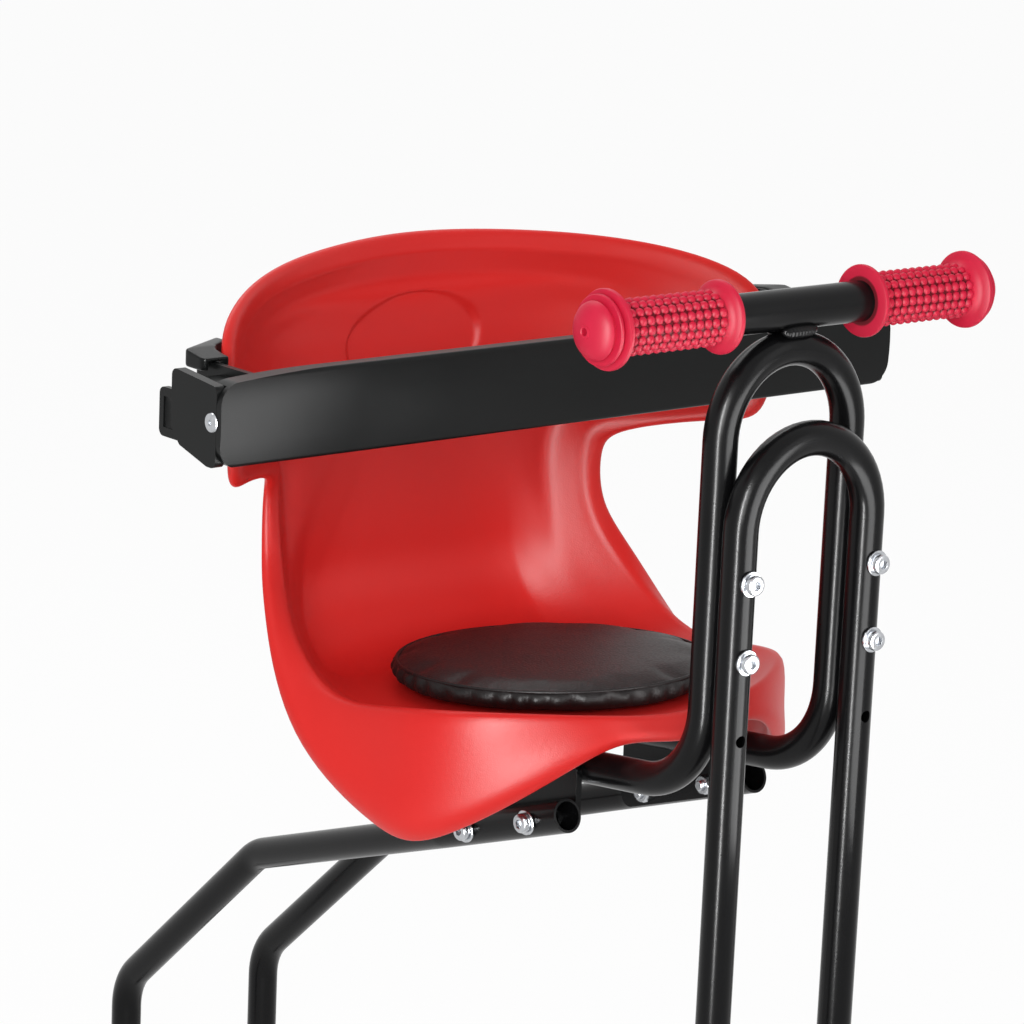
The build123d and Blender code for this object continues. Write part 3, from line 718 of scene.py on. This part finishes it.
# %% A helper for node trees
class Rule:
    """A geometry node tree written one node at a time."""

    def __init__(self, name, sizes):
        self.tree = bpy.data.node_groups.new(name, "GeometryNodeTree")
        self.tree.interface.new_socket("Geometry", in_out="INPUT", socket_type="NodeSocketGeometry")
        self.tree.interface.new_socket("Geometry", in_out="OUTPUT", socket_type="NodeSocketGeometry")
        self.sizes = sizes
        self.ids = {}
        for label, value in sizes.items():
            kind = "NodeSocketInt" if isinstance(value, int) else "NodeSocketFloat"
            made = self.tree.interface.new_socket(label, in_out="INPUT", socket_type=kind)
            self.ids[label] = made.identifier
        self.inputs = self.tree.nodes.new("NodeGroupInput")

    def size(self, label):
        return self.inputs.outputs[label]

    def node(self, kind, settings={}, sockets={}, output=0):
        made = self.tree.nodes.new(kind)
        for name, value in settings.items():
            setattr(made, name, value)
        for name, value in sockets.items():
            if isinstance(value, bpy.types.NodeSocket):
                self.tree.links.new(value, made.inputs[name])
            else:
                made.inputs[name].default_value = value
        return made.outputs[output]

    def math(self, operation, a, b=0.0):
        return self.node("ShaderNodeMath", {"operation": operation}, {0: a, 1: b})

    def build(self, name, result, material, host=None):
        """Run the rule on a mesh and return its result as a plain piece."""
        real = self.node("GeometryNodeRealizeInstances", {}, {0: result})
        dressed = self.node("GeometryNodeSetMaterial", {}, {"Geometry": real, "Material": material})
        self.tree.links.new(dressed, self.tree.nodes.new("NodeGroupOutput").inputs[0])
        made = host or piece(name, [], [], material)
        maker = made.modifiers.new("rule", "NODES")
        maker.node_group = self.tree
        for label, value in self.sizes.items():
            maker[self.ids[label]] = value
        apply_modifiers(made)
        return made


print("rule helper ready")

# %% [markdown]
# A thin piping cord is sewn round the top edge of the pad. A circle curve swept with a small round profile is the
# whole rule: the path gives the seam, the profile gives the cord. The seam's radius is measured on the blown-up cover,
# so that the cord lies half sunk in it.

# %% Piping of the pad
piping_rule = Rule("piping", {"Seam radius": seam_r, "Cord radius": 0.0011})
seam = piping_rule.node("GeometryNodeCurvePrimitiveCircle", {"mode": "RADIUS"}, {
    "Resolution": 192, "Radius": piping_rule.size("Seam radius"),
}, "Curve")
cord = piping_rule.node("GeometryNodeCurvePrimitiveCircle", {"mode": "RADIUS"}, {
    "Resolution": 10, "Radius": piping_rule.size("Cord radius"),
}, "Curve")
swept = piping_rule.node("GeometryNodeCurveToMesh", {}, {"Curve": seam, "Profile Curve": cord})
piping = piping_rule.build("pad_piping", swept, PAD_LEATHER)
points = coordinates(piping.data) + (0, 0, seam_z)
piping.data.vertices.foreach_set("co", (points @ turn.T + place(pad_origin)).ravel())
piping.data.shade_smooth()
settle(piping, "stand", "pad_leather")
print("piping cord length:", round(2 * math.pi * seam_r / MM), "mm")

# %% [markdown]
# A grip is a rubber sleeve: a flange at each end, a stepped dome with a vent hole, and a field of small studs on the
# sleeve. The body is turned. The studs are one small form repeated on a grid wrapped round the sleeve.

# %% Grip body
grip_start = 50.5
grip_profile = [
    (11.2, 0), (18.4, 0), (19.4, 0.5), (19.7, 1.3), (19.6, 2.3), (18.8, 3.4), (16.6, 4.2), (14.6, 5.4), (13.2, 7.6),
    (12.7, 10), (12.7, 70), (13.4, 72.6), (14.8, 75), (17.4, 76.4), (20.3, 77), (21.1, 77.8), (21.2, 79),
    (20.8, 80), (20, 80.4), (16.4, 80.5), (16.2, 80.9), (16.2, 81.9), (16.6, 82.2), (18.2, 82.3), (18.6, 82.7),
    (18.6, 83.9), (18.2, 84.4), (14.2, 84.5), (14, 84.9), (14, 85.7), (14.3, 86), (15.2, 86.1), (15.5, 86.5),
    (15.2, 87.6), (13.6, 89.6), (11, 91.2), (8, 92.3), (5, 92.9), (3.6, 93.1), (3.4, 93.6), (2.5, 93.8), (2, 93.4),
    (1.8, 88),
]
body_points, body_faces = lathe(grip_profile, 72)
print("grip:", len(body_points), "points, length", max(z for r, z in grip_profile), "mm")

# %% [markdown]
# A stud is a low eight-sided point that just meets the next studs along and round the sleeve. What is left open between
# four of them is a small deep hole. In the rule below, a stud's number gives its row and its place round the sleeve.

# %% Stud
stud_rings = [(2.85, -1.0), (2.6, 0.1), (1.5, 1.2), (0.5, 1.6)]
stud_points, stud_faces = lathe(stud_rings, 8)
stud = piece("stud", stud_points * MM, stud_faces, GRIP_RUBBER)
stud_rule = Rule("studs", {"Around": 16, "Rows": 12, "Sleeve radius": 0.0135, "Length": 0.0605})
index = stud_rule.node("GeometryNodeInputIndex")
row = stud_rule.math("FLOOR", stud_rule.math("DIVIDE", index, stud_rule.size("Around")))
step = stud_rule.math("MODULO", index, stud_rule.size("Around"))
angle = stud_rule.math("MULTIPLY", stud_rule.math("DIVIDE", step, stud_rule.size("Around")), 2 * math.pi)
along = stud_rule.math("DIVIDE", row, stud_rule.math("SUBTRACT", stud_rule.size("Rows"), 1.0))
outward = stud_rule.node("ShaderNodeCombineXYZ", {}, {
    "X": stud_rule.math("COSINE", angle), "Y": stud_rule.math("SINE", angle),
})
spread = stud_rule.node("ShaderNodeVectorMath", {"operation": "SCALE"}, {
    "Vector": outward, "Scale": stud_rule.size("Sleeve radius"),
})
lift = stud_rule.node("ShaderNodeCombineXYZ", {}, {
    "Z": stud_rule.math("MULTIPLY", along, stud_rule.size("Length")),
})
seat = stud_rule.node("ShaderNodeVectorMath", {"operation": "ADD"}, {0: spread, 1: lift})
total = stud_rule.math("MULTIPLY", stud_rule.size("Around"), stud_rule.size("Rows"))
cloud = stud_rule.node("GeometryNodePoints", {}, {"Count": total, "Position": seat})
aim = stud_rule.node("FunctionNodeAlignRotationToVector", {"axis": "Z"}, {"Vector": outward})
shape = stud_rule.node("GeometryNodeObjectInfo", {}, {"Object": stud}, "Geometry")
field = stud_rule.node("GeometryNodeInstanceOnPoints", {}, {"Points": cloud, "Instance": shape, "Rotation": aim})
studs = stud_rule.build("stud_field", field, GRIP_RUBBER)
first_row = 9.8 * MM
stud_field = coordinates(studs.data) + (0, 0, first_row)
stud_quads = [tuple(face.vertices) for face in studs.data.polygons]
print("studs on one grip:", len(stud_field) // len(stud_points))

# %% [markdown]
# Both grips take the same body and studs, laid along the bar to either side. Turning by a rotation and not a mirror
# keeps the faces pointing outwards.

# %% Both grips
for side, name in (-1, "right_grip"), (1, "left_grip"):
    lay = np.array([(0, 0, side), (0, 1, 0), (-side, 0, 0)], float)
    points = np.concatenate([body_points * MM, stud_field])
    points = points @ lay.T + place((side * grip_start, frame_y, bar_z))
    offset = len(body_points)
    faces = body_faces + [tuple(v + offset for v in face) for face in stud_quads]
    made = piece(name + "_rubber", points, faces, GRIP_RUBBER, sharp=38)
    settle(made, "stand", "grip_rubber", name)
for spare in stud, studs:
    bpy.data.objects.remove(spare)

# %% [markdown]
# The screws and bolts are zinc plated. Each kind is turned once: button heads with a six-sided socket, washers, nuts
# and pan heads. One rule then sets a copy at every seat, pointing along that seat's own direction.


# %% Fasteners by rule
def fasten(name, profile, seats, aims, hexed=(), body="stand", replaced=()):
    """A copy of a turned form at each seat, with its +Z along the aim."""
    points, faces = lathe(profile, 36, hexed)
    form = piece(name + "_form", points * MM, faces, ZINC, sharp=32)
    host = piece(name, place(seats), [], ZINC)
    direction = host.data.attributes.new("aim", "FLOAT_VECTOR", "POINT")
    direction.data.foreach_set("vector", np.asarray(aims, float).ravel())
    rule = Rule(name + "_rule", {"Size": 1.0})
    stored = rule.node("GeometryNodeInputNamedAttribute", {"data_type": "FLOAT_VECTOR"}, {"Name": "aim"})
    turn_to = rule.node("FunctionNodeAlignRotationToVector", {"axis": "Z"}, {"Vector": stored})
    shape = rule.node("GeometryNodeObjectInfo", {}, {"Object": form}, "Geometry")
    copies = rule.node("GeometryNodeInstanceOnPoints", {}, {
        "Points": rule.inputs.outputs["Geometry"], "Instance": shape, "Rotation": turn_to, "Scale": rule.size("Size"),
    })
    made = rule.build(name, copies, ZINC, host)
    bpy.data.objects.remove(form)
    return settle(made, body, "zinc", *replaced)


button_head = [
    (2.6, -16), (2.9, -15), (2.9, 0), (5.0, 0), (5.4, 0.3), (5.5, 1.0), (5.5, 2.6), (5.3, 3.4), (4.8, 4.0), (4.2, 4.2),
    (2.9, 4.25), (2.7, 4.1), (2.6, 3.8), (2.6, 1.6), (0.3, 1.3),
]
washer_ring = [(3.2, 0.05), (6.7, 0), (7.0, 0.3), (7.0, 1.2), (6.7, 1.5), (3.2, 1.45)]
socket_rings = (11, 12, 13)
washer_t = 1.55
front_seats = [(side * hoop_half, z) for side in (-1, 1) for z in (466.0, 423.5)]
washer_y = -tube_r - 0.15
front_aim = [(0, -1, 0)] * 4
fasten("front_washer_set", washer_ring, [(x, washer_y, z) for x, z in front_seats], front_aim,
       replaced=["front_washers"])
fasten("front_bolt_set", button_head, [(x, washer_y - washer_t, z) for x, z in front_seats], front_aim, socket_rings,
       replaced=["front_bolts"])

# %% [markdown]
# The rear legs are clamped to the side plates by the same bolts, with plain nuts inside. The seat screws come up from
# below the rails, and one pan-head screw holds each end plate of the safety bar, so it rides on the bar.

# %% Rear bolts, seat screws and end-plate screws
leg_y, leg_z, knee_y, knee_z = 100.0, 313.5, 404.0, 204.0
leg_fall = (leg_z - knee_z) / (knee_y - leg_y)
leg_side, plate_inside = 79.25, 55.75
rear_seats = [(side, y, leg_z - leg_fall * (y - leg_y)) for side in (-1, 1) for y in (123.0, 175.0)]
rear_aim = [(side, 0, 0) for side, y, z in rear_seats]
fasten("rear_washer_set", washer_ring, [(side * leg_side, y, z) for side, y, z in rear_seats], rear_aim,
       replaced=["rear_washers"])
fasten("rear_bolt_set", button_head, [(side * (leg_side + washer_t), y, z) for side, y, z in rear_seats], rear_aim,
       socket_rings, replaced=["rear_bolts"])
nut = [(3.05, 0), (5.2, 0), (5.8, 0.5), (5.8, 4.4), (5.1, 5.0), (3.4, 5.0), (2.9, 4.6), (2.9, 7.2), (2.5, 7.6)]
fasten("rear_nut_set", nut, [(side * plate_inside, y, z) for side, y, z in rear_seats],
       [(-side, 0, 0) for side, y, z in rear_seats], (2, 3), replaced=["rear_nuts"])
pan_head = [(2.4, -14), (2.4, 0), (4.4, 0), (4.6, 0.4), (4.5, 1.4), (3.8, 2.4), (2.4, 2.8), (1.4, 2.8), (1.3, 1.4)]
under = [(side * hoop_half, y, z) for side in (-1, 1) for y, z in ((128.0, 322.8), (222.0, 311.2))]
fasten("shell_screw_set", pan_head, under, [(0, 0, -1)] * 4, (7, 8), replaced=["shell_screws"])
cheek_head = [(2.4, -14), (2.4, 0), (5.1, 0), (5.4, 0.2), (5.0, 0.9), (3.6, 1.3), (1.6, 1.4), (1.5, 0.5)]
cheek_seat = np.array((246.05, 196.5, 533.5))
fasten("cheek_screw_set", cheek_head, [cheek_seat * (side, 1, 1) for side in (-1, 1)],
       [(side, 0, 0) for side in (-1, 1)], (6, 7), body="bar_unit", replaced=["cheek_screws"])

# %% [markdown]
# Each wing carries a moulded hook. Its CAD solid has flat sides; the real one is rounded all over like a knuckle. A
# bevel can't do that evenly where a channel cuts the block, so a copy is remeshed finely and smoothed, and its roof is
# pressed down a little, clear of the lip that slides under it.

# %% Hooks
roof = 555.6 * MM
roof_squash = 0.6
for hand in "left_", "right_":
    hook = bpy.data.objects.new(hand + "hook", nodes[hand + "wing_bracket"].data.copy())
    bpy.context.scene.collection.objects.link(hook)
    even = hook.modifiers.new("even", "REMESH")
    even.mode = "VOXEL"
    even.voxel_size = 0.0007
    soft = hook.modifiers.new("soft", "SMOOTH")
    soft.factor = 0.5
    soft.iterations = 30
    apply_modifiers(hook)
    points = coordinates(hook.data)
    points[:, 2] = np.where(points[:, 2] > roof, roof + roof_squash * (points[:, 2] - roof), points[:, 2])
    hook.data.vertices.foreach_set("co", points.ravel())
    hook.data.materials.clear()
    hook.data.materials.append(BLACK_PLASTIC)
    hook.data.shade_smooth()
    settle(hook, "stand", "black_plastic", hand + "wing_bracket")

# %% [markdown]
# Behind each end plate the release tab is a loop with a dished finger rest in it. The loop is in the CAD; the thin dish
# is added here as a grid that sinks towards its middle, doubled for its thickness.

# %% Finger rests
size = 15
sheet = size * size
rest_x, rest_y, rest_z, rest_t = 239.0, 244.0, 529.0, 1.4
across = np.linspace(-1, 1, size)
u, v = (c.ravel() for c in np.meshgrid(across, across))
dish = 0.9 * (1 - u ** 4) * (1 - v ** 4)
rest_faces = []
for j in range(size - 1):
    for i in range(size - 1):
        low, high = j * size + i, (j + 1) * size + i
        quad = (low, low + 1, high + 1, high)
        rest_faces += [quad, tuple(k + sheet for k in quad[::-1])]
around = [*range(size), *range(2 * size - 1, sheet, size), *range(sheet - 2, sheet - size - 1, -1),
          *range(sheet - 2 * size, 0, -size)]
for here, there in zip(around, around[1:] + around[:1]):
    rest_faces.append((there, here, here + sheet, there + sheet))
for side, hand in (-1, "right_"), (1, "left_"):
    points = np.concatenate([
        np.stack([side * (rest_x - back - dish), rest_y + 6.3 * u, rest_z + 8.8 * v], -1) for back in (0, rest_t)
    ])
    faces = [face[::side] for face in rest_faces]
    rest = piece(hand + "finger_rest", place(points), faces, BLACK_PLASTIC, sharp=50)
    settle(rest, "bar_unit", "black_plastic")

# %% [markdown]
# The handlebar is welded to the crown of the hoop in front and behind. Each run of weld is turned from a profile that
# swells and dips with every dab of the rod and tapers at both ends.

# %% Weld runs
run_half, run_r, dab_depth, thinnest = 12.5, 4.1, 0.35, 0.3
x = np.linspace(-run_half, run_half, 61)
swell = run_r * np.sqrt(np.clip(1 - np.abs(x / 12.6) ** 3, 0, 1)) - dab_depth * np.abs(np.sin(1.4 * x))
points, faces = lathe([(max(r, thinnest), z) for r, z in zip(swell, x)], 20)
turned = points @ np.array([(0, 0, 1), (0, 1, 0), (-1, 0, 0)], float).T
runs = [turned + (0, frame_y + side * 0.72 * tube_r, bar_z - 10.7) for side in (-1, 1)]
faces = faces + [tuple(k + len(points) for k in face) for face in faces]
welds = piece("weld_runs", place(np.concatenate(runs)), faces, BLACK_PAINT)
settle(welds, "stand", "black_paint", "weld_beads")

# %% [markdown]
# The stage is a pale floor. A photograph of this kind has a white ground, so rays from the camera and mirror rays see
# mostly plain white there, while the part that is lit keeps the object's soft shadow.


# %% Floor
def floor_finish():
    paper = Finish("floor_paper")
    tooth = paper.noise(180.0)
    paper.surface(Base_Color=paper.mix(tooth, (0.86, 0.86, 0.86, 1), (0.9, 0.9, 0.9, 1)), Roughness=0.85)
    camera = paper.node("ShaderNodeLightPath", output="Is Camera Ray")
    glossy = paper.node("ShaderNodeLightPath", output="Is Glossy Ray")
    clear = paper.node("ShaderNodeLightPath", output="Is Transmission Ray")
    white = paper.node("ShaderNodeEmission", {}, {"Color": (1, 1, 1, 1), "Strength": 1.0})
    lit = Tap(paper, paper.shader.outputs["BSDF"])
    both = paper.node("ShaderNodeMixShader", {}, {0: (camera + glossy + clear) * 0.94, 1: lit, 2: white})
    paper.tree.links.new(both.socket, paper.tree.nodes["Material Output"].inputs["Surface"])
    return paper.material


floor_size = 8.0
corners = [(x, y, 0) for x, y in ((-floor_size, -floor_size), (floor_size, -floor_size),
                                  (floor_size, floor_size), (-floor_size, floor_size))]
floor = piece("floor", corners, [(0, 1, 2, 3)], floor_finish())
print("floor", 2 * floor_size, "m square")

# %% [markdown]
# Soft studio light: a pale world all round, a large softbox in front on the left, a weak fill on the right, and one
# from above and behind to part the black pieces from the ground. A narrow strip draws the crisp lines on the tubes, and
# a small panel lights the near end of the bar. These two light sheen only, because as plain lamps they would wash the
# red out.


# %% World and lamps
world = bpy.data.worlds.new("studio")
bpy.context.scene.world = world
world.use_nodes = True
sky = world.node_tree
sky.nodes["Background"].inputs["Color"].default_value = (1, 1, 1, 1)
sky.nodes["Background"].inputs["Strength"].default_value = 0.42
bright = sky.nodes.new("ShaderNodeBackground")
bright.inputs["Color"].default_value = (1, 1, 1, 1)
path = sky.nodes.new("ShaderNodeLightPath")
blend = sky.nodes.new("ShaderNodeMixShader")
seen = path.outputs["Is Camera Ray"]
for kind in "Is Glossy Ray", "Is Transmission Ray":
    either = sky.nodes.new("ShaderNodeMath")
    sky.links.new(seen, either.inputs[0])
    sky.links.new(path.outputs[kind], either.inputs[1])
    seen = either.outputs[0]
sky.links.new(seen, blend.inputs[0])
sky.links.new(sky.nodes["Background"].outputs[0], blend.inputs[1])
sky.links.new(bright.outputs[0], blend.inputs[2])
sky.links.new(blend.outputs[0], sky.nodes["World Output"].inputs["Surface"])


def softbox(name, spot, target, width, height, watts, sheen_only=False):
    lamp = bpy.data.lights.new(name, "AREA")
    lamp.shape = "RECTANGLE"
    lamp.size = width
    lamp.size_y = height
    lamp.energy = watts
    made = bpy.data.objects.new(name, lamp)
    made.location = spot
    made.rotation_euler = (Vector(target) - Vector(spot)).to_track_quat("-Z", "Y").to_euler()
    made.visible_diffuse = not sheen_only
    made.visible_camera = False
    bpy.context.scene.collection.objects.link(made)


middle = (0, -0.05, 0.42)
softbox("key", (-1.8, -1.8, 1.1), middle, 1.0, 1.2, 38)
softbox("fill", (0.9, -2.2, 1.5), middle, 1.2, 1.2, 5)
softbox("top", (0.2, 0.9, 2.0), middle, 1.6, 0.8, 14)
softbox("tube strip", (-0.7, -0.66, 0.5), (0, -0.27, 0.5), 0.06, 1.0, 24, sheen_only=True)
softbox("bar panel", (0.0, -0.42, 0.43), (-0.2, -0.08, 0.53), 0.14, 0.3, 1.5, sheen_only=True)

# %% [markdown]
# The camera stands in front on the child's right, a little above the seat, with a long lens. Its place was solved from
# the tubes and the bar, whose sizes are known, so the model lands on the picture without any shift.

# %% Camera
lens = bpy.data.cameras.new("camera")
lens.sensor_width = 36.0
lens.lens = 140.02
camera = bpy.data.objects.new("camera", lens)
right = Vector((0.7716822, -0.63462107, 0.04198435))
up = Vector((0.11406241, 0.20303445, 0.97250541))
forward = Vector((0.62569669, 0.74567628, -0.22906448))
turned = Matrix((right, up, -forward)).transposed().to_4x4()
camera.matrix_world = Matrix.Translation(place((-1439.523, -1474.253, 974.067))) @ turned
bpy.context.scene.collection.objects.link(camera)
bpy.context.scene.camera = camera
bpy.context.scene.view_settings.view_transform = "Standard"
print("camera at", [round(c, 3) for c in camera.location])
